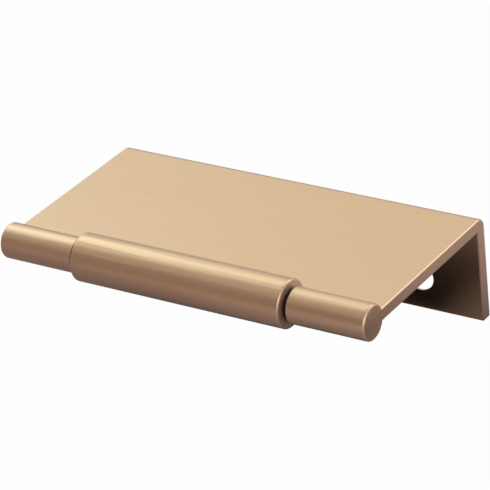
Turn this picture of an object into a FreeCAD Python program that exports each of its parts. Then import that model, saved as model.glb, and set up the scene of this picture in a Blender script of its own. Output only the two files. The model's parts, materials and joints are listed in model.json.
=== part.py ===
import FreeCAD, Part
import math
import os

from FreeCAD import Vector

# Tab pull for a drawer front: a flat plate that lies on the drawer's top edge, a flange behind it that takes
# two screws, and a round bar along the free edge of the plate with a thicker grip in the middle.
# Millimetres. +X runs along the pull, -Y is the side the hand comes from, +Z is up.
# The origin is midway between the two screw holes, on the flange face that bears on the drawer front.

# Driving sizes
length = 76.2
hole_spacing = 50.8
hole_d = 5.6
hole_land = 0.4
sink_angle = 82.0
plate_t = 2.4
flange_t = 2.4
flange_h = 20.4
hole_below_top = 13.8
axis_to_flange = 36.2
plate_top_over_axis = 1.25
bar_d = 6.6
grip_d = 8.9
grip_len = 43.6
reveal_w = 0.8
reveal_deep = 1.0

# Edge radii
bend_r = 2.0
inner_r = 0.4
edge_r = 0.3
end_r = 0.45
grip_r = 0.35
shoulder_r = 0.2

# Derived places
half = length / 2.0
plate_top = hole_below_top
axis_z = plate_top - plate_top_over_axis
axis_y = -axis_to_flange
flange_bottom = plate_top - flange_h
bar_rad = bar_d / 2.0
grip_rad = grip_d / 2.0
neck_rad = bar_rad - reveal_deep
grip_half = grip_len / 2.0
shoulder_x = grip_half + reveal_w


def arc_corner(before, corner, after, radius):
    """Tangent points and middle of the arc that rounds a corner between two straight sides."""
    u = (before - corner).normalize()
    v = (after - corner).normalize()
    turn = math.acos(max(-1.0, min(1.0, u.dot(v))))
    reach = radius / math.tan(turn / 2.0)
    start = corner + u * reach
    end = corner + v * reach
    bisector = (u + v).normalize()
    centre = corner + bisector * (radius / math.sin(turn / 2.0))
    middle = centre - bisector * radius
    return start, middle, end


def rounded_face(points, radii):
    """A flat face from straight sides, each corner rounded by its own radius; 0 leaves it sharp."""
    edges = []
    last = None
    first = None
    count = len(points)
    for i in range(count):
        corner = points[i]
        if radii[i] > 0.0:
            before = points[(i - 1) % count]
            after = points[(i + 1) % count]
            start, middle, end = arc_corner(before, corner, after, radii[i])
        else:
            start, middle, end = corner, None, corner
        if last is not None:
            edges.append(Part.makeLine(last, start))
        if first is None:
            first = start
        if middle is not None:
            edges.append(Part.Arc(start, middle, end).toShape())
        last = end
    edges.append(Part.makeLine(last, first))
    return Part.Face(Part.Wire(edges))


def same(a, b):
    """Whether two places are the same to a thousandth of a millimetre."""
    return abs(a - b) < 0.001


def angle_slab():
    """The plate and the flange as one bent section, with its ends and the flange's lower edges rounded."""
    front = axis_y
    back = flange_t
    low = plate_top - plate_t
    section = [
        (front, plate_top, 0.0),
        (front, low, 0.0),
        (0.0, low, inner_r),
        (0.0, flange_bottom, 0.0),
        (back, flange_bottom, 0.0),
        (back, plate_top, bend_r),
    ]
    points = [Vector(-half, y, z) for y, z, r in section]
    solid = rounded_face(points, [r for y, z, r in section]).extrude(Vector(length, 0.0, 0.0))
    outer_edges = []
    for edge in solid.Edges:
        places = [v.Point for v in edge.Vertexes]
        at_end = all(same(abs(p.x), half) for p in places) and same(places[0].x, places[-1].x)
        at_bar = all(same(p.y, front) for p in places)
        at_foot = all(same(p.z, flange_bottom) for p in places)
        if at_foot or at_end and not at_bar:
            outer_edges.append(edge)
    return solid.makeFillet(edge_r, outer_edges)


def bar_profile():
    """Half outline of the bar, its two necks and the grip, in X and radius, with the edge radii."""
    return [
        (-half, 0.0, 0.0),
        (-half, bar_rad, end_r),
        (-shoulder_x, bar_rad, shoulder_r),
        (-shoulder_x, neck_rad, 0.0),
        (-grip_half, neck_rad, 0.0),
        (-grip_half, grip_rad, grip_r),
        (grip_half, grip_rad, grip_r),
        (grip_half, neck_rad, 0.0),
        (shoulder_x, neck_rad, 0.0),
        (shoulder_x, bar_rad, shoulder_r),
        (half, bar_rad, end_r),
        (half, 0.0, 0.0),
    ]


def turned_bar():
    """The bar with the grip, turned about the long axis."""
    outline = bar_profile()
    points = [Vector(x, axis_y, axis_z + radius) for x, radius, r in outline]
    face = rounded_face(points, [r for x, radius, r in outline])
    return face.revolve(Vector(0.0, axis_y, axis_z), Vector(1.0, 0.0, 0.0), 360.0)


def screw_hole(x):
    """One countersunk screw hole: a thin land at the bearing face, then a cone to the back of the flange."""
    r = hole_d / 2.0
    extra = 0.5
    slope = math.tan(math.radians(sink_angle / 2.0))
    wide = r + (flange_t - hole_land + extra) * slope
    shank = Part.makeCylinder(r, flange_t + 2.0 * extra, Vector(x, -extra, 0.0), Vector(0.0, 1.0, 0.0))
    depth = flange_t - hole_land + extra
    sink = Part.makeCone(r, wide, depth, Vector(x, hole_land, 0.0), Vector(0.0, 1.0, 0.0))
    return shank.fuse(sink)


pull = angle_slab().fuse(turned_bar())
for side in (-1.0, 1.0):
    pull = pull.cut(screw_hole(side * hole_spacing / 2.0))
pull = pull.removeSplitter()
if pull.ShapeType != "Solid":
    pull = pull.Solids[0]

os.makedirs("parts", exist_ok=True)
pull.exportStep("parts/pull_body.step")

box = pull.BoundBox
print("solid valid", pull.isValid(), "volume", round(pull.Volume, 1), "faces", len(pull.Faces))
print("box", [round(v, 3) for v in (box.XMin, box.XMax, box.YMin, box.YMax, box.ZMin, box.ZMax)])
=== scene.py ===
import json
import math
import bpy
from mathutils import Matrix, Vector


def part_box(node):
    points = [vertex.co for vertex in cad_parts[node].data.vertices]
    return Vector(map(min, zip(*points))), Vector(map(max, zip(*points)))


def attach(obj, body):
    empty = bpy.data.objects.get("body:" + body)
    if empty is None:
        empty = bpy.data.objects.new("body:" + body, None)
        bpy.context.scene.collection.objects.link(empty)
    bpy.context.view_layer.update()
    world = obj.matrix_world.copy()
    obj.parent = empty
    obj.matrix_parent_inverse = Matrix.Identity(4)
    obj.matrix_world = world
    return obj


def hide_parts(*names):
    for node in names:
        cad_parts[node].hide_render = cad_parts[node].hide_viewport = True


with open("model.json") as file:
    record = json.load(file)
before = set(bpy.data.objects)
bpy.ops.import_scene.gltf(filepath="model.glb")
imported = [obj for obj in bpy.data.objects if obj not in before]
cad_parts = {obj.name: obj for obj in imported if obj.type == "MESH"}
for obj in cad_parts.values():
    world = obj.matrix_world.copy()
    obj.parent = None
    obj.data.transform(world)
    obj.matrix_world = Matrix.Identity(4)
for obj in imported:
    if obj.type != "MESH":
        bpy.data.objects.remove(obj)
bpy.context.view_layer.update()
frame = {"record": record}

from types import SimpleNamespace

import bmesh
import bpy
from bpy.props import FloatProperty, FloatVectorProperty, IntProperty, PointerProperty
from mathutils import Matrix, Vector

bl_info = {
    "name": "Satin bronze tab pull",
    "version": (1, 0, 0),
    "blender": (4, 5, 0),
    "location": "3D View > Sidebar > Tab pull",
    "description": "A drawer tab pull with a turned grip, its satin bronze finish and a plain studio",
    "category": "Object",
}

MM = 0.001
BODY = "root"
SOLID = "pull_body"

RECORD = frame["record"]
SOLID_LOW, SOLID_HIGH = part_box(SOLID)
SCREWS = next(m for m in RECORD["mounts"] if m["name"] == "screws")

# Points nearer to each other than these, in millimetres, become one point.
LATHE_MERGE = 1e-5
PLATE_MERGE = 1e-3
DRILLED_MERGE = 2e-3

# Smallest radius of a corner that is drawn in, in millimetres.
LEAST_R = 1e-4

# Normals on either side of an edge that turns by more than this stay apart, in degrees.
SHARP_CORNER = 28.0


def linear(hex_colour):
    """An sRGB hex colour as linear red, green, blue and alpha."""
    parts = [int(hex_colour[i:i + 2], 16) / 255.0 for i in (1, 3, 5)]
    return tuple(v / 12.92 if v <= 0.04045 else ((v + 0.055) / 1.055) ** 2.4 for v in parts) + (1.0,)


def length(name, about, mm):
    """A length, given in millimetres and kept in metres."""
    return FloatProperty(name=name, description=about, default=mm * MM, subtype="DISTANCE", precision=5)


def angle(name, about, degrees):
    """An angle, given in degrees and kept in radians."""
    return FloatProperty(
        name=name, description=about, default=math.radians(degrees), subtype="ANGLE", precision=3
    )


def colour(name, about, hex_colour):
    """A colour, given as sRGB hex and kept linear."""
    return FloatVectorProperty(
        name=name, description=about, default=linear(hex_colour), size=4, subtype="COLOR"
    )


def level(name, about, value):
    """A brightness; 1 is white in a mirror."""
    return FloatProperty(name=name, description=about, default=value, min=0.0)


def factor(name, about, value):
    """A share from 0 to 1."""
    return FloatProperty(
        name=name, description=about, default=value, min=0.0, max=1.0, subtype="FACTOR"
    )


def spot(name, about, metres):
    """A place or a half size along X, Y and Z, in metres."""
    return FloatVectorProperty(
        name=name, description=about, default=metres, subtype="XYZ_LENGTH", precision=5
    )


def in_mm(group):
    """The values of a group of settings, with its lengths in millimetres."""
    values = {}
    for name in group.__annotations__:
        value = getattr(group, name)
        is_length = group.bl_rna.properties[name].unit == "LENGTH"
        values[name] = round(value / MM, 4) if is_length else value
    return SimpleNamespace(**values)


class PullSizes(bpy.types.PropertyGroup):
    """Sizes of the pull, as the solid has them."""

    half_length: length("Half length", "Middle to either end", SOLID_HIGH[0] / MM)
    flange_back: length("Flange back", "Rear face of the flange, from its bearing face", SOLID_HIGH[1] / MM)
    flange_foot: length("Flange foot", "Lower edge of the flange, from the screws", SOLID_LOW[2] / MM)
    grip_top: length("Grip top", "Highest line of the grip, from the screws", SOLID_HIGH[2] / MM)
    grip_front: length("Grip front", "Foremost line of the grip, from the bearing face", SOLID_LOW[1] / MM)
    grip_d: length("Grip diameter", "Thicker middle of the bar", 8.9)
    bar_d: length("Bar diameter", "Bar beside the grip", 6.6)
    grip_len: length("Grip length", "Length of the thicker middle", 43.6)
    reveal_w: length("Reveal width", "Dark groove at each end of the grip", 0.8)
    reveal_deep: length("Reveal depth", "How far the groove goes into the bar", 1.0)
    plate_t: length("Plate thickness", "Sheet over the drawer edge", 2.4)
    plate_over_axis: length("Plate over axis", "Plate top above the bar's axis", 1.25)
    bend_r: length("Bend radius", "Outer bend between plate and flange", 2.0)
    inner_r: length("Inner radius", "Inner corner between plate and flange", 0.4)
    edge_r: length("Edge radius", "Rounding of the plate's and flange's edges", 0.3)
    end_r: length("Bar end radius", "Rounding of the bar's end rims", 0.45)
    grip_r: length("Grip rim radius", "Rounding of the grip's rims", 0.35)
    shoulder_r: length("Shoulder radius", "Rounding of the bar beside the groove", 0.2)
    hole_spacing: length("Hole spacing", "Screw to screw", SCREWS["dims"]["spacing_x_mm"])
    hole_r: length("Hole radius", "Screw hole", SCREWS["dims"]["hole_r_mm"])
    hole_land: length("Hole land", "Straight wall at the bearing face", 0.4)
    sink_angle: angle("Countersink angle", "Whole angle of the cone", 82.0)
    facets: IntProperty(name="Facets", description="Facets round the bar", default=144, min=12)
    arc_steps: IntProperty(name="Arc steps", description="Steps in each rounded edge", default=8, min=1)


def node(tree, kind, settings=None, **links):
    """A node with its settings, and a value or another node's socket for each input that is named.

    An input is named with underscores for its spaces, or as i and its number where names repeat.
    """
    made = tree.nodes.new(kind)
    for key, value in (settings or {}).items():
        setattr(made, key, value)
    for name, value in links.items():
        numbered = name[0] == "i" and name[1:].isdigit()
        place = made.inputs[int(name[1:]) if numbered else name.replace("_", " ")]
        if isinstance(value, bpy.types.NodeSocket):
            tree.links.new(value, place)
        else:
            place.default_value = value
    return made


def arc_corner(before, corner, after, radius, steps):
    """Points of the arc that rounds a corner between two straight sides."""
    u = (before - corner).normalized()
    v = (after - corner).normalized()
    half_turn = u.angle(v) / 2.0
    centre = corner + (u + v).normalized() * (radius / math.sin(half_turn))
    start = corner + u * (radius / math.tan(half_turn)) - centre
    end = corner + v * (radius / math.tan(half_turn)) - centre
    sweep = start.angle_signed(end)
    points = []
    for i in range(steps + 1):
        turn = -sweep * i / steps
        points.append(centre + Matrix.Rotation(turn, 2) @ start)
    return points


def rounded(corners, steps):
    """Points along straight sides with rounded corners, each (a, b, radius); radius 0 stays sharp."""
    places = [Vector((a, b)) for a, b, radius in corners]
    points = []
    for i, (a, b, radius) in enumerate(corners):
        if radius > 0.0:
            after = places[(i + 1) % len(places)]
            points += arc_corner(places[i - 1], places[i], after, radius, steps)
        else:
            points.append(places[i])
    return points


def polyline(name, points):
    """An object that holds one open line of points, in millimetres."""
    mesh = bpy.data.meshes.new(name)
    mesh.from_pydata(points, [(i, i + 1) for i in range(len(points) - 1)], [])
    made = bpy.data.objects.new(name, mesh)
    bpy.context.scene.collection.objects.link(made)
    return made


def evaluated(made, name):
    """The plain mesh of an object as its modifiers leave it; the object itself is removed."""
    graph = bpy.context.evaluated_depsgraph_get()
    mesh = bpy.data.meshes.new_from_object(made.evaluated_get(graph), depsgraph=graph)
    mesh.name = name
    bpy.data.objects.remove(made)
    result = bpy.data.objects.new(name, mesh)
    bpy.context.scene.collection.objects.link(result)
    return result


def run_tree(made, tree, name, **values):
    """Runs a Geometry Nodes tree on an object with its named inputs set, and returns the plain result."""
    modifier = made.modifiers.new(tree.name, "NODES")
    modifier.node_group = tree
    inputs = [s for s in tree.interface.items_tree if s.in_out == "INPUT"]
    sockets = {s.name.replace(" ", "_"): s.identifier for s in inputs}
    for key, value in values.items():
        modifier[sockets[key]] = value
    return evaluated(made, name)


def tree_with(name, inputs):
    """A Geometry Nodes tree with a geometry in and out, and further named inputs of the given kinds."""
    tree = bpy.data.node_groups.new(name, "GeometryNodeTree")
    tree.interface.new_socket("Geometry", in_out="INPUT", socket_type="NodeSocketGeometry")
    for label, kind in inputs:
        tree.interface.new_socket(label, in_out="INPUT", socket_type=kind)
    tree.interface.new_socket("Geometry", in_out="OUTPUT", socket_type="NodeSocketGeometry")
    return tree, tree.nodes.new("NodeGroupInput"), tree.nodes.new("NodeGroupOutput")


def lathe_tree():
    """Turns an outline about the world X axis, as on a lathe.

    The outline's X is the radius less the path's radius, and its Y is the place along the axis.
    """
    tree, given, out = tree_with("Lathe", [
        ("Facets", "NodeSocketInt"), ("Path radius", "NodeSocketFloat"), ("Finish", "NodeSocketMaterial"),
    ])
    outline = node(tree, "GeometryNodeMeshToCurve", Mesh=given.outputs["Geometry"])
    path = node(
        tree, "GeometryNodeCurvePrimitiveCircle", {"mode": "RADIUS"},
        Resolution=given.outputs["Facets"], Radius=given.outputs["Path radius"],
    )
    turned = node(
        tree, "GeometryNodeCurveToMesh", Curve=path.outputs["Curve"], Profile_Curve=outline.outputs["Curve"],
    )
    closed = node(tree, "GeometryNodeMergeByDistance", Geometry=turned.outputs["Mesh"], Distance=LATHE_MERGE)
    along_x = node(
        tree, "GeometryNodeTransform",
        Geometry=closed.outputs["Geometry"], Rotation=(0.0, -math.pi / 2.0, 0.0),
    )
    plain = node(tree, "GeometryNodeRealizeInstances", Geometry=along_x.outputs["Geometry"])
    dressed = node(
        tree, "GeometryNodeSetMaterial", Geometry=plain.outputs["Geometry"], Material=given.outputs["Finish"],
    )
    tree.links.new(dressed.outputs["Geometry"], out.inputs["Geometry"])
    return tree


def assembly_tree():
    """Joins the turned bar to the bent plate, cuts the row of screw holes and brings it all to metres."""
    tree, given, out = tree_with("Pull body", [
        ("Bar", "NodeSocketObject"), ("Cutter", "NodeSocketObject"), ("Screw count", "NodeSocketInt"),
        ("First screw", "NodeSocketVector"), ("Screw step", "NodeSocketVector"),
        ("Finish", "NodeSocketMaterial"),
    ])
    in_place = {"transform_space": "RELATIVE"}
    bar = node(tree, "GeometryNodeObjectInfo", in_place, Object=given.outputs["Bar"])
    cutter = node(tree, "GeometryNodeObjectInfo", in_place, Object=given.outputs["Cutter"])
    whole = node(tree, "GeometryNodeMeshBoolean", {"operation": "UNION", "solver": "MANIFOLD"})
    tree.links.new(given.outputs["Geometry"], whole.inputs[1])
    tree.links.new(bar.outputs["Geometry"], whole.inputs[1])
    row = node(
        tree, "GeometryNodeMeshLine", {"mode": "OFFSET"}, Count=given.outputs["Screw count"],
        Start_Location=given.outputs["First screw"], Offset=given.outputs["Screw step"],
    )
    cutters = node(
        tree, "GeometryNodeInstanceOnPoints", Points=row.outputs["Mesh"], Instance=cutter.outputs["Geometry"],
    )
    single = node(tree, "GeometryNodeRealizeInstances", Geometry=cutters.outputs["Instances"])
    drilled = node(tree, "GeometryNodeMeshBoolean", {"operation": "DIFFERENCE", "solver": "MANIFOLD"})
    tree.links.new(whole.outputs["Mesh"], drilled.inputs[0])
    tree.links.new(single.outputs["Geometry"], drilled.inputs[1])
    clean = node(
        tree, "GeometryNodeMergeByDistance", Geometry=drilled.outputs["Mesh"], Distance=DRILLED_MERGE,
    )
    metres = node(tree, "GeometryNodeTransform", Geometry=clean.outputs["Geometry"], Scale=(MM, MM, MM))
    plain = node(tree, "GeometryNodeRealizeInstances", Geometry=metres.outputs["Geometry"])
    dressed = node(
        tree, "GeometryNodeSetMaterial", Geometry=plain.outputs["Geometry"], Material=given.outputs["Finish"],
    )
    tree.links.new(dressed.outputs["Geometry"], out.inputs["Geometry"])
    return tree


def plate_section(sizes, inset):
    """The bent section of plate and flange as Y and Z points, drawn in by inset except at the bar."""
    top = sizes.grip_top - sizes.grip_d / 2.0 + sizes.plate_over_axis
    low = top - sizes.plate_t
    at_axis = sizes.grip_front + sizes.grip_d / 2.0
    foot_r = max(sizes.edge_r - inset, LEAST_R)
    return rounded([
        (at_axis, top - inset, 0.0),
        (at_axis, low + inset, 0.0),
        (inset, low + inset, sizes.inner_r + inset),
        (inset, sizes.flange_foot + inset, foot_r),
        (sizes.flange_back - inset, sizes.flange_foot + inset, foot_r),
        (sizes.flange_back - inset, top - inset, sizes.bend_r - inset),
    ], sizes.arc_steps)


def plate_object(sizes):
    """The plate and flange as one closed mesh in millimetres, its end edges rounded."""
    rings = []
    for i in range(sizes.arc_steps + 1):
        turn = math.pi / 2.0 * i / sizes.arc_steps
        inset = sizes.edge_r * (1.0 - math.sin(turn))
        x = sizes.half_length - sizes.edge_r * (1.0 - math.cos(turn))
        rings.append((x, plate_section(sizes, inset)))
    rings += [(-x, section) for x, section in reversed(rings)]
    mesh = bmesh.new()
    rows = [[mesh.verts.new((x, p[0], p[1])) for p in section] for x, section in rings]
    for near, far in zip(rows, rows[1:]):
        for i in range(len(near)):
            mesh.faces.new((near[i - 1], near[i], far[i], far[i - 1]))
    mesh.faces.new(rows[0])
    mesh.faces.new(reversed(rows[-1]))
    bmesh.ops.remove_doubles(mesh, verts=mesh.verts, dist=PLATE_MERGE)
    bmesh.ops.recalc_face_normals(mesh, faces=mesh.faces)
    data = bpy.data.meshes.new("plate_and_flange")
    mesh.to_mesh(data)
    mesh.free()
    made = bpy.data.objects.new("plate_and_flange", data)
    bpy.context.scene.collection.objects.link(made)
    return made


def turned(name, outline, facets, lathe, finish):
    """A turned solid from its outline of (place along the axis, radius) points, about the world X axis."""
    path_radius = 0.05
    points = [(radius - path_radius, along, 0.0) for along, radius in outline]
    made = run_tree(
        polyline(name, points), lathe, name, Facets=facets, Path_radius=path_radius, Finish=finish,
    )
    mesh = bmesh.new()
    mesh.from_mesh(made.data)
    bmesh.ops.recalc_face_normals(mesh, faces=mesh.faces)
    mesh.to_mesh(made.data)
    mesh.free()
    return made


def bar_outline(sizes):
    """Outline of the bar, its necks and the grip, as (place along the axis, radius) points."""
    bar_r = sizes.bar_d / 2.0
    neck_r = bar_r - sizes.reveal_deep
    grip_half = sizes.grip_len / 2.0
    shoulder = grip_half + sizes.reveal_w
    right = [
        (grip_half, sizes.grip_d / 2.0, sizes.grip_r),
        (grip_half, neck_r, 0.0),
        (shoulder, neck_r, 0.0),
        (shoulder, bar_r, sizes.shoulder_r),
        (sizes.half_length, bar_r, sizes.end_r),
        (sizes.half_length, 0.0, 0.0),
    ]
    left = [(-along, radius, rounding) for along, radius, rounding in reversed(right)]
    return rounded(left + right, sizes.arc_steps)


def cutter_outline(sizes):
    """Outline of one screw hole: a straight land, then the cone that opens to the back of the flange."""
    spare = 0.5
    slope = math.tan(sizes.sink_angle / 2.0)
    wide = sizes.hole_r + (sizes.flange_back - sizes.hole_land + spare) * slope
    return [
        (-spare, 0.0),
        (-spare, sizes.hole_r),
        (sizes.hole_land, sizes.hole_r),
        (sizes.flange_back + spare, wide),
        (sizes.flange_back + spare, 0.0),
    ]


# Most values of a noise texture lie between these.
NOISE_LOW = 0.3
NOISE_HIGH = 0.7

# How far the tone and the roughness wander to either side.
TONE_SPREAD = 0.015
ROUGHNESS_SPREAD = 0.015

# Added roughness where no belt reaches.
DULL_ROUGHER = 0.3
COAT_ROUGHNESS = 0.3

# Height of the waves, as multiples of the brush lines': what the belt leaves, and what the hand adds.
BELT_WAVES = 20.0
HAND_WAVES = 80.0
BUMP_STRENGTH = 0.1
BUMP_METRES = 0.00001

# How near to a face, in millimetres, a point of the surface counts as lying on it.
GROOVE_SLACK = 0.01
FACE_SLACK = 0.02
ROUND_SLACK = 0.1

# Depth below the bar's surface, in millimetres, down to which a groove keeps its tone,
# and from which its colour is painted full shade.
CLEAR_TO = 0.35
FULL_SHADE_FROM = 0.8


class PullFinish(bpy.types.PropertyGroup):
    """Colours and grain of the satin bronze."""

    golden: colour("Golden tone", "Metal colour where it is yellowest", "#E2BF96")
    rosy: colour("Rosy tone", "Metal colour where it is pinkest", "#E4BF99")
    end_face: colour("End face tone", "Grip's end faces, which the belt doesn't reach", "#BFA48E")
    # Painted shade: the groove tone stands for the shade that falls deep in the grooves.
    groove: colour("Groove tone", "Unpolished metal deep in the grooves", "#4A3A36")
    roughness: factor("Roughness", "Of the brushed surface", 0.3)
    line_gap: length("Brush line gap", "Between brush lines", 0.3)
    line_length: length("Brush line length", "Along the pull", 18.0)
    tone_patch: length("Tone patch", "Size of the tone's slow changes", 26.0)


def satin_bronze(sizes, finish):
    """Satin bronze: cast, ground lengthwise on fine belts, plated a golden bronze and lacquered.

    The belt leaves fine lines along the pull on every face, the bar's too. They blur what it mirrors and
    show as faint streaks. The lacquer adds a thin white sheen over the coloured metal. No belt reaches the
    grip's end faces or the two narrow grooves beside them, so the metal is duller and darker there. Deep in
    the grooves the colour is painted dark as shade.
    """
    material = bpy.data.materials.new("satin_brushed_bronze")
    material.use_nodes = True
    tree = material.node_tree
    shader = tree.nodes["Principled BSDF"]
    place = node(tree, "ShaderNodeTexCoord")
    in_mm_place = node(
        tree, "ShaderNodeMapping", Vector=place.outputs["Object"], Scale=(1 / MM, 1 / MM, 1 / MM),
    )
    where = in_mm_place.outputs["Vector"]

    # The real lines are about 0.05 mm apart, too fine to show here: they are drawn line_gap apart.
    across = 1.0 / finish.line_gap
    lines = node(tree, "ShaderNodeMapping", Vector=where, Scale=(1.0 / finish.line_length, across, across))
    streaks = node(
        tree, "ShaderNodeTexNoise", Vector=lines.outputs["Vector"], Scale=1.0, Detail=3.0, Roughness=0.6,
    )
    band_width = 4.0
    bands_per_line = 0.8
    band_across = across / band_width
    bands = node(
        tree, "ShaderNodeMapping", Vector=where,
        Scale=(bands_per_line / finish.line_length, band_across, band_across),
    )
    broad = node(tree, "ShaderNodeTexNoise", Vector=bands.outputs["Vector"], Scale=1.0, Detail=2.0)
    drift = node(tree, "ShaderNodeTexNoise", Vector=where, Scale=1.0 / finish.tone_patch, Detail=1.0)
    tone = node(
        tree, "ShaderNodeMix", {"data_type": "RGBA"}, Factor=drift.outputs["Fac"],
        i6=finish.golden, i7=finish.rosy,
    )
    shade = node(
        tree, "ShaderNodeMapRange", Value=broad.outputs["Fac"],
        From_Min=NOISE_LOW, From_Max=NOISE_HIGH, To_Min=1.0 - TONE_SPREAD, To_Max=1.0 + TONE_SPREAD,
    )
    toned = node(
        tree, "ShaderNodeVectorMath", {"operation": "SCALE"},
        i0=tone.outputs[2], Scale=shade.outputs["Result"],
    )

    # The grip's end faces and the grooves between them and the bar's shoulders. Deeper in, the colour is
    # painted dark as shade.
    grip_r = sizes.grip_d / 2.0
    axis = (0.0, sizes.grip_front + grip_r, sizes.grip_top - grip_r)
    from_axis = node(tree, "ShaderNodeVectorMath", {"operation": "SUBTRACT"}, i0=where, i1=axis)
    around = node(
        tree, "ShaderNodeVectorMath", {"operation": "MULTIPLY"},
        i0=from_axis.outputs["Vector"], i1=(0.0, 1.0, 1.0),
    )
    radius = node(tree, "ShaderNodeVectorMath", {"operation": "LENGTH"}, i0=around.outputs["Vector"])
    parts = node(tree, "ShaderNodeSeparateXYZ", Vector=where)
    along = node(tree, "ShaderNodeMath", {"operation": "ABSOLUTE"}, i0=parts.outputs["X"])
    middle = sizes.grip_len / 2.0 + sizes.reveal_w / 2.0
    in_groove = node(
        tree, "ShaderNodeMath", {"operation": "COMPARE"}, i0=along.outputs["Value"], i1=middle,
        i2=sizes.reveal_w / 2.0 + GROOVE_SLACK,
    )
    # Painted shade: deeper below the bar's surface, the colour turns towards the groove tone.
    deep = node(
        tree, "ShaderNodeMapRange", Value=radius.outputs["Value"],
        From_Min=sizes.bar_d / 2.0 - FULL_SHADE_FROM, From_Max=sizes.bar_d / 2.0 - CLEAR_TO,
        To_Min=1.0, To_Max=0.0,
    )
    at_end = node(
        tree, "ShaderNodeMath", {"operation": "COMPARE"},
        i0=along.outputs["Value"], i1=sizes.grip_len / 2.0, i2=FACE_SLACK,
    )
    inside_rim = node(
        tree, "ShaderNodeMath", {"operation": "LESS_THAN"}, i0=radius.outputs["Value"], i1=grip_r,
    )
    end_face = node(
        tree, "ShaderNodeMath", {"operation": "MULTIPLY"},
        i0=at_end.outputs["Value"], i1=inside_rim.outputs["Value"],
    )
    shaded_neck = node(
        tree, "ShaderNodeMath", {"operation": "MULTIPLY"},
        i0=in_groove.outputs["Value"], i1=deep.outputs["Result"],
    )
    dull_or_shaded = node(
        tree, "ShaderNodeMath", {"operation": "MAXIMUM"},
        i0=end_face.outputs["Value"], i1=shaded_neck.outputs["Value"],
    )
    # Duller end-face tone, with painted shade towards the groove tone deeper in.
    unpolished_or_shaded = node(
        tree, "ShaderNodeMix", {"data_type": "RGBA"}, Factor=deep.outputs["Result"],
        i6=finish.end_face, i7=finish.groove,
    )
    final_colour = node(
        tree, "ShaderNodeMix", {"data_type": "RGBA"}, Factor=dull_or_shaded.outputs["Value"],
        i6=toned.outputs["Vector"], i7=unpolished_or_shaded.outputs[2],
    )
    tree.links.new(final_colour.outputs[2], shader.inputs["Base Color"])
    rough = node(
        tree, "ShaderNodeMapRange", Value=streaks.outputs["Fac"],
        From_Min=NOISE_LOW, From_Max=NOISE_HIGH,
        To_Min=finish.roughness - ROUGHNESS_SPREAD, To_Max=finish.roughness + ROUGHNESS_SPREAD,
    )
    rougher = node(
        tree, "ShaderNodeMath", {"operation": "MULTIPLY_ADD"},
        i0=dull_or_shaded.outputs["Value"], i1=DULL_ROUGHER, i2=rough.outputs["Result"],
    )
    tree.links.new(rougher.outputs["Value"], shader.inputs["Roughness"])

    # The round parts were brushed by hand, so they are wavier than the plate and the flange.
    near_axis = node(
        tree, "ShaderNodeMath", {"operation": "LESS_THAN"}, i0=radius.outputs["Value"],
        i1=grip_r + ROUND_SLACK,
    )
    over_plate = node(
        tree, "ShaderNodeMath", {"operation": "SUBTRACT"}, i0=parts.outputs["Z"],
        i1=axis[2] + sizes.plate_over_axis - sizes.plate_t / 2.0,
    )
    off_plate = node(tree, "ShaderNodeMath", {"operation": "ABSOLUTE"}, i0=over_plate.outputs["Value"])
    flat = node(
        tree, "ShaderNodeMath", {"operation": "COMPARE"}, i0=off_plate.outputs["Value"],
        i1=sizes.plate_t / 2.0, i2=FACE_SLACK,
    )
    by_hand = node(
        tree, "ShaderNodeMath", {"operation": "SUBTRACT", "use_clamp": True},
        i0=near_axis.outputs["Value"], i1=flat.outputs["Value"],
    )
    waviness = node(
        tree, "ShaderNodeMath", {"operation": "MULTIPLY_ADD"},
        i0=by_hand.outputs["Value"], i1=HAND_WAVES, i2=BELT_WAVES,
    )
    wave = node(tree, "ShaderNodeMath", {"operation": "SUBTRACT"}, i0=broad.outputs["Fac"], i1=0.5)
    height = node(
        tree, "ShaderNodeMath", {"operation": "MULTIPLY_ADD"}, i0=wave.outputs["Value"],
        i1=waviness.outputs["Value"], i2=streaks.outputs["Fac"],
    )
    bump = node(
        tree, "ShaderNodeBump", Strength=BUMP_STRENGTH, Distance=BUMP_METRES, Height=height.outputs["Value"],
    )
    tree.links.new(bump.outputs["Normal"], shader.inputs["Normal"])
    shader.inputs["Metallic"].default_value = 1.0
    shader.inputs["Coat Weight"].default_value = 1.0
    shader.inputs["Coat Roughness"].default_value = COAT_ROUGHNESS
    return material


class PULL_OT_body(bpy.types.Operator):
    """Make the pull: bent plate and flange, turned bar and grip, countersunk screw holes, and its finish"""

    bl_idname = "tab_pull.body"
    bl_label = "Pull body"

    def execute(self, context):
        sizes = in_mm(context.scene.pull_sizes)
        material = satin_bronze(sizes, in_mm(context.scene.pull_finish))
        lathe = lathe_tree()
        bar = turned("turned_bar", bar_outline(sizes), sizes.facets, lathe, material)
        grip_r = sizes.grip_d / 2.0
        axis = Vector((0.0, sizes.grip_front + grip_r, sizes.grip_top - grip_r))
        bar.data.transform(Matrix.Translation(axis))
        cutter = turned("screw_hole", cutter_outline(sizes), sizes.facets // 2, lathe, material)
        cutter.data.transform(Matrix.Rotation(math.pi / 2.0, 4, "Z"))
        step = Vector((sizes.hole_spacing, 0.0, 0.0))
        plate = plate_object(sizes)
        plate.data.materials.append(material)
        piece = run_tree(
            plate, assembly_tree(), "brushed_pull", Bar=bar, Cutter=cutter, Screw_count=2,
            First_screw=-step / 2.0, Screw_step=step, Finish=material,
        )
        bpy.data.objects.remove(bar)
        bpy.data.objects.remove(cutter)
        shade_form(piece)
        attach(piece, BODY)
        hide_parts(SOLID)
        return {"FINISHED"}


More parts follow.
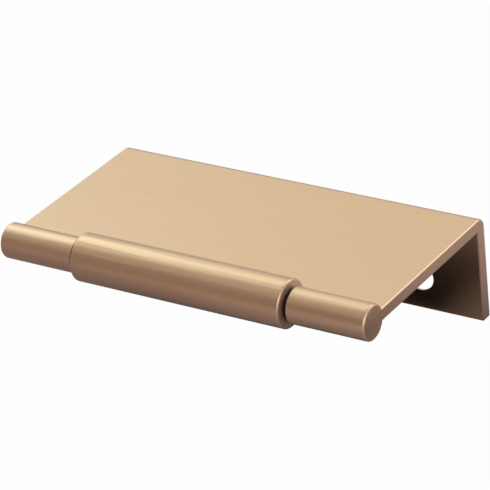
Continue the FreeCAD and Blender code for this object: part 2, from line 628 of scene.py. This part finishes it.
def shade_form(piece):
    """Smooth shading that keeps true corners sharp and flat faces flat."""
    corner = math.radians(SHARP_CORNER)
    mesh = bmesh.new()
    mesh.from_mesh(piece.data)
    for face in mesh.faces:
        face.smooth = True
    for edge in mesh.edges:
        edge.smooth = edge.is_manifold and edge.calc_face_angle(0.0) < corner
    mesh.to_mesh(piece.data)
    mesh.free()
    weighted = piece.modifiers.new("Flat faces stay flat", "WEIGHTED_NORMAL")
    weighted.mode = "FACE_AREA"
    weighted.weight = 100
    weighted.keep_sharp = True


# The camera's frame in millimetres, and half sizes of the stage in metres.
FRAME_WIDTH = 36.0
FLOOR_REACH = 12.0
WORKTOP_REACH = 1.5
ROOM_RADIUS = 4.0

# Share of plain white in the floor as it is seen; the rest keeps its shadows.
PAPER_WHITE = 0.9


class StudioSettings(bpy.types.PropertyGroup):
    """Camera, floor and the room that the metal mirrors."""

    azimuth: angle("Azimuth", "Camera to the right of the front", 35.678)
    elevation: angle("Elevation", "Camera above the level", 28.112)
    roll: angle("Roll", "Camera turned about its own axis", -6.323)
    distance: length("Distance", "Camera to the aimed point", 526.58)
    aim: spot("Aim", "Point on the camera's axis", (-0.00047, -0.016669, 0.009448))
    lens: FloatProperty(
        name="Lens", description="Focal length for a 36 mm frame", default=215.68, subtype="DISTANCE_CAMERA"
    )
    floor_drop: length("Floor drop", "Floor below the pull", 250.0)
    surround: level("Surround", "Light of the studio all round", 1.0)
    # The worktop's glow is painted light: a painted shade and shadow of the pull, and a painted brighter
    # right side.
    worktop: colour("Worktop colour", "Surface that the metal mirrors", "#FFE6EB")
    worktop_level: level("Worktop level", "Far from the pull's shade", 0.456)
    bright_side: colour("Bright side colour", "Added to the worktop on the right", "#FDF6FF")
    bright_side_level: level("Bright side level", "Added to the worktop on the right", 0.335)
    bright_side_from: length("Bright side from", "Where it begins along the pull", -99.3)
    bright_side_full: length("Bright side full", "Where it is full along the pull", 68.5)
    worktop_drop: length("Worktop drop", "Worktop below the flange", 0.4)
    shade_middle: spot("Shade middle", "Middle of the full shade under the pull", (0.0063, -0.0130, 0.0))
    shade_half: spot("Shade half size", "Half the size of the full shade", (0.0203, 0.0098, 0.0))
    shade_reach: length("Shade reach", "From full shade to half the level", 46.4)
    shadow_middle: spot("Shadow middle", "Middle of the pull's shadow to its right", (0.0612, -0.0139, 0.0))
    shadow_half: spot("Shadow half size", "From its middle to where it ends", (0.0137, 0.0214, 0.0))
    shadow_depth: factor("Shadow depth", "How dark its middle is", 0.95)
    walls: colour("Wall colour", "Room that the metal mirrors", "#FFEDE5")
    walls_level: level("Wall level", "Walls away from the lights", 0.305)


# Lit patches on the walls of the room: name, azimuth (0 front, 90 right, 180 back) and elevation of the
# middle, angle from the middle out to which it is full, angle at which it ends, level (1 is white in a
# mirror) and colour. A negative angle for full means that even the middle stays a little under the level.
PATCHES = (
    ("rear_light", -188.5, 48.9, -0.9, 36.2, 1.157, "#EBF7FF"),
    ("left_light", -110.9, 36.3, 8.9, 31.5, 1.316, "#E3FDFF"),
    ("edge_light", 62.6, 20.2, -12.9, 30.7, 2.508, "#FCFEFF"),
    ("plate_light", -143.1, 31.7, 8.8, 28.5, 0.358, "#FBFFEF"),
    ("high_light", -82.0, 70.6, 23.3, 56.2, 0.224, "#FFFAF9"),
    ("rim_light", 150.0, 28.0, 4.0, 20.0, 1.1, "#FFFFFF"),
    ("rear_wall", 180.0, 0.0, 45.5, 55.7, 0.168, "#FFFFF7"),
    ("side_wall", 90.0, 0.0, 66.6, 71.2, 0.477, "#EBF6FF"),
)


class PULL_OT_stage(bpy.types.Operator):
    """Make the plain white floor, the surround that the metal mirrors and the camera"""

    bl_idname = "tab_pull.stage"
    bl_label = "Studio"

    def execute(self, context):
        studio = context.scene.pull_studio
        make_camera(context, studio)
        make_floor(studio)
        make_worktop(studio)
        make_surround(context, studio)
        context.scene.view_settings.view_transform = "Standard"
        return {"FINISHED"}


def direction(azimuth, elevation):
    """The direction from the pull to a place at an azimuth (0 front, 90 degrees right) and an elevation."""
    return Vector((
        math.sin(azimuth) * math.cos(elevation), -math.cos(azimuth) * math.cos(elevation), math.sin(elevation)
    ))


def make_camera(context, studio):
    """The camera, at the photograph's angle and distance."""
    a = studio.azimuth
    e = studio.elevation
    back = direction(a, e)
    level_right = Vector((math.cos(a), math.sin(a), 0.0))
    up = back.cross(level_right)
    r = studio.roll
    right = level_right * math.cos(r) + up * math.sin(r)
    up = back.cross(right)
    data = bpy.data.cameras.new("camera")
    data.lens = studio.lens
    data.sensor_width = FRAME_WIDTH
    camera = bpy.data.objects.new("camera", data)
    place = Vector(studio.aim) + back * studio.distance
    camera.matrix_world = Matrix.Translation(place) @ Matrix((right, up, back)).transposed().to_4x4()
    context.scene.collection.objects.link(camera)
    context.scene.camera = camera


def seen_directly(tree):
    """A factor of 1 for camera rays and for mirror and glass rays, which show what the camera would see."""
    path = node(tree, "ShaderNodeLightPath")
    either = node(
        tree, "ShaderNodeMath", {"operation": "MAXIMUM"},
        i0=path.outputs["Is Camera Ray"], i1=path.outputs["Is Glossy Ray"],
    )
    any_of = node(
        tree, "ShaderNodeMath", {"operation": "MAXIMUM"},
        i0=either.outputs["Value"], i1=path.outputs["Is Transmission Ray"],
    )
    return any_of.outputs["Value"]


def stage_plane(name, low, reach, material):
    """A level square of the stage, centred under the pull."""
    middle = (SOLID_LOW[1] + SOLID_HIGH[1]) / 2.0
    data = bpy.data.meshes.new(name)
    corners = [(-reach, -reach), (reach, -reach), (reach, reach), (-reach, reach)]
    data.from_pydata([(x, y + middle, low) for x, y in corners], [], [(0, 1, 2, 3)])
    data.materials.append(material)
    plane = bpy.data.objects.new(name, data)
    bpy.context.scene.collection.objects.link(plane)
    return plane


def make_floor(studio):
    """A plain white floor, well below the pull because the pull hangs from a drawer front."""
    paper = bpy.data.materials.new("white_paper")
    paper.use_nodes = True
    tree = paper.node_tree
    shader = tree.nodes["Principled BSDF"]
    shader.inputs["Base Color"].default_value = linear("#F2F2F2")
    shader.inputs["Roughness"].default_value = 0.9
    white = node(tree, "ShaderNodeEmission", Color=linear("#FFFFFF"), Strength=1.0)
    share = node(tree, "ShaderNodeMath", {"operation": "MULTIPLY"}, i0=seen_directly(tree), i1=PAPER_WHITE)
    mixed = node(
        tree, "ShaderNodeMixShader", i0=share.outputs["Value"],
        i1=shader.outputs["BSDF"], i2=white.outputs["Emission"],
    )
    tree.links.new(mixed.outputs["Shader"], tree.nodes["Material Output"].inputs["Surface"])
    paper.cycles.emission_sampling = "NONE"
    stage_plane("floor", SOLID_LOW[2] - studio.floor_drop, FLOOR_REACH, paper)


def make_worktop(studio):
    """A pale glowing worktop just under the flange, with the pull's shade painted on it; only the metal
    mirrors it.
    """
    top = bpy.data.materials.new("shaded_worktop")
    top.use_nodes = True
    tree = top.node_tree
    place = node(tree, "ShaderNodeTexCoord")
    # Painted shade: full under the pull, rising to the worktop level farther out.
    from_middle = node(
        tree, "ShaderNodeVectorMath", {"operation": "SUBTRACT"},
        i0=place.outputs["Object"], i1=studio.shade_middle,
    )
    either_way = node(
        tree, "ShaderNodeVectorMath", {"operation": "ABSOLUTE"}, i0=from_middle.outputs["Vector"],
    )
    past_edge = node(
        tree, "ShaderNodeVectorMath", {"operation": "SUBTRACT"},
        i0=either_way.outputs["Vector"], i1=studio.shade_half,
    )
    outside = node(
        tree, "ShaderNodeVectorMath", {"operation": "MAXIMUM"},
        i0=past_edge.outputs["Vector"], i1=(0.0, 0.0, 0.0),
    )
    level_part = node(
        tree, "ShaderNodeVectorMath", {"operation": "MULTIPLY"},
        i0=outside.outputs["Vector"], i1=(1.0, 1.0, 0.0),
    )
    away = node(tree, "ShaderNodeVectorMath", {"operation": "LENGTH"}, i0=level_part.outputs["Vector"])
    longer = node(
        tree, "ShaderNodeMath", {"operation": "ADD"},
        i0=away.outputs["Value"], i1=studio.shade_reach,
    )
    open_sky = node(
        tree, "ShaderNodeMath", {"operation": "DIVIDE"}, i0=away.outputs["Value"], i1=longer.outputs["Value"],
    )
    # Painted shadow of the pull, to its right.
    from_shadow = node(
        tree, "ShaderNodeVectorMath", {"operation": "SUBTRACT"},
        i0=place.outputs["Object"], i1=studio.shadow_middle,
    )
    off_shadow = node(
        tree, "ShaderNodeVectorMath", {"operation": "ABSOLUTE"}, i0=from_shadow.outputs["Vector"],
    )
    off = node(tree, "ShaderNodeSeparateXYZ", Vector=off_shadow.outputs["Vector"])
    cast_x, cast_y = [
        node(
            tree, "ShaderNodeMapRange", {"interpolation_type": "SMOOTHSTEP"}, Value=off.outputs[axis],
            From_Min=0.0, From_Max=studio.shadow_half[axis], To_Min=1.0, To_Max=0.0,
        ).outputs["Result"]
        for axis in (0, 1)
    ]
    cast = node(tree, "ShaderNodeMath", {"operation": "MULTIPLY"}, i0=cast_x, i1=cast_y)
    past_shadow = node(
        tree, "ShaderNodeMath", {"operation": "MULTIPLY_ADD"},
        i0=cast.outputs["Value"], i1=-studio.shadow_depth, i2=1.0,
    )
    lit_share = node(
        tree, "ShaderNodeMath", {"operation": "MULTIPLY"},
        i0=open_sky.outputs["Value"], i1=past_shadow.outputs["Value"],
    )
    # Painted light: the worktop grows brighter towards the right.
    parts = node(tree, "ShaderNodeSeparateXYZ", Vector=place.outputs["Object"])
    rightward = node(
        tree, "ShaderNodeMapRange", {"interpolation_type": "SMOOTHSTEP"}, Value=parts.outputs["X"],
        From_Min=studio.bright_side_from, From_Max=studio.bright_side_full, To_Min=0.0, To_Max=1.0,
    )
    tinted = node(
        tree, "ShaderNodeVectorMath", {"operation": "MULTIPLY_ADD"}, i0=rightward.outputs["Result"],
        i1=[v * studio.bright_side_level for v in studio.bright_side[:3]],
        i2=[v * studio.worktop_level for v in studio.worktop[:3]],
    )
    lit = node(
        tree, "ShaderNodeEmission", Color=tinted.outputs["Vector"], Strength=lit_share.outputs["Value"],
    )
    tree.links.new(lit.outputs["Emission"], tree.nodes["Material Output"].inputs["Surface"])
    top.cycles.emission_sampling = "NONE"
    worktop = stage_plane("worktop", SOLID_LOW[2] - studio.worktop_drop, WORKTOP_REACH, top)
    only_mirrored(worktop)


def make_surround(context, studio):
    """White all round, and a dim room that only the metal mirrors: paler behind the pull and on its right."""
    world = bpy.data.worlds.new("studio")
    world.use_nodes = True
    context.scene.world = world
    tree = world.node_tree
    sky = tree.nodes["Background"]
    sky.inputs["Color"].default_value = linear("#FFFFFF")
    sky.inputs["Strength"].default_value = studio.surround
    white = node(tree, "ShaderNodeBackground", Color=linear("#FFFFFF"), Strength=1.0)
    mixed = node(
        tree, "ShaderNodeMixShader", i0=seen_directly(tree),
        i1=sky.outputs["Background"], i2=white.outputs["Background"],
    )
    tree.links.new(mixed.outputs["Shader"], tree.nodes["World Output"].inputs["Surface"])
    world.cycles.sampling_method = "NONE"

    walls = bpy.data.materials.new("room_walls")
    walls.use_nodes = True
    tree = walls.node_tree
    place = node(tree, "ShaderNodeTexCoord")
    outward = node(tree, "ShaderNodeVectorMath", {"operation": "NORMALIZE"}, i0=place.outputs["Object"])
    light = tuple(v * studio.walls_level for v in studio.walls[:3])
    for name, azimuth, elevation, full, none, brightness, hex_colour in PATCHES:
        towards = node(
            tree, "ShaderNodeVectorMath", {"operation": "DOT_PRODUCT"},
            i0=outward.outputs["Vector"], i1=direction(math.radians(azimuth), math.radians(elevation)),
        )
        off_middle = node(tree, "ShaderNodeMath", {"operation": "ARCCOSINE"}, i0=towards.outputs["Value"])
        share = node(
            tree, "ShaderNodeMapRange", {"interpolation_type": "SMOOTHSTEP"},
            Value=off_middle.outputs["Value"],
            From_Min=math.radians(full), From_Max=math.radians(none), To_Min=1.0, To_Max=0.0,
        )
        share.label = name
        added = node(
            tree, "ShaderNodeVectorMath", {"operation": "MULTIPLY_ADD"}, i0=share.outputs["Result"],
            i1=[v * brightness for v in linear(hex_colour)[:3]], i2=light,
        )
        light = added.outputs["Vector"]
    glow = node(tree, "ShaderNodeEmission", Color=light, Strength=1.0)
    tree.links.new(glow.outputs["Emission"], tree.nodes["Material Output"].inputs["Surface"])
    walls.cycles.emission_sampling = "NONE"
    mesh = bmesh.new()
    bmesh.ops.create_icosphere(mesh, subdivisions=4, radius=ROOM_RADIUS)
    data = bpy.data.meshes.new("room")
    mesh.to_mesh(data)
    mesh.free()
    data.materials.append(walls)
    room = bpy.data.objects.new("room", data)
    context.scene.collection.objects.link(room)
    only_mirrored(room)


def only_mirrored(thing):
    """Leaves a part of the stage to mirror rays alone."""
    thing.visible_camera = False
    thing.visible_diffuse = False
    thing.visible_transmission = False
    thing.visible_volume_scatter = False
    thing.visible_shadow = False


class PULL_PT_panel(bpy.types.Panel):
    """The pull's sizes, its finish and the studio"""

    bl_label = "Tab pull"
    bl_idname = "PULL_PT_panel"
    bl_space_type = "VIEW_3D"
    bl_region_type = "UI"
    bl_category = "Tab pull"

    def draw(self, context):
        for group in (context.scene.pull_sizes, context.scene.pull_finish, context.scene.pull_studio):
            box = self.layout.box()
            for name in group.__annotations__:
                box.prop(group, name)
        self.layout.operator(PULL_OT_body.bl_idname)
        self.layout.operator(PULL_OT_stage.bl_idname)


CLASSES = (PullSizes, PullFinish, StudioSettings, PULL_OT_body, PULL_OT_stage, PULL_PT_panel)


def register():
    """Registers the classes and their settings."""
    for each in CLASSES:
        bpy.utils.register_class(each)
    bpy.types.Scene.pull_sizes = PointerProperty(type=PullSizes)
    bpy.types.Scene.pull_finish = PointerProperty(type=PullFinish)
    bpy.types.Scene.pull_studio = PointerProperty(type=StudioSettings)


def unregister():
    """Takes the settings and classes away again."""
    del bpy.types.Scene.pull_sizes
    del bpy.types.Scene.pull_finish
    del bpy.types.Scene.pull_studio
    for each in reversed(CLASSES):
        bpy.utils.unregister_class(each)


def main():
    """Makes the pull and its studio."""
    register()
    bpy.ops.tab_pull.body()
    bpy.ops.tab_pull.stage()


if __name__ == "__main__":
    main()
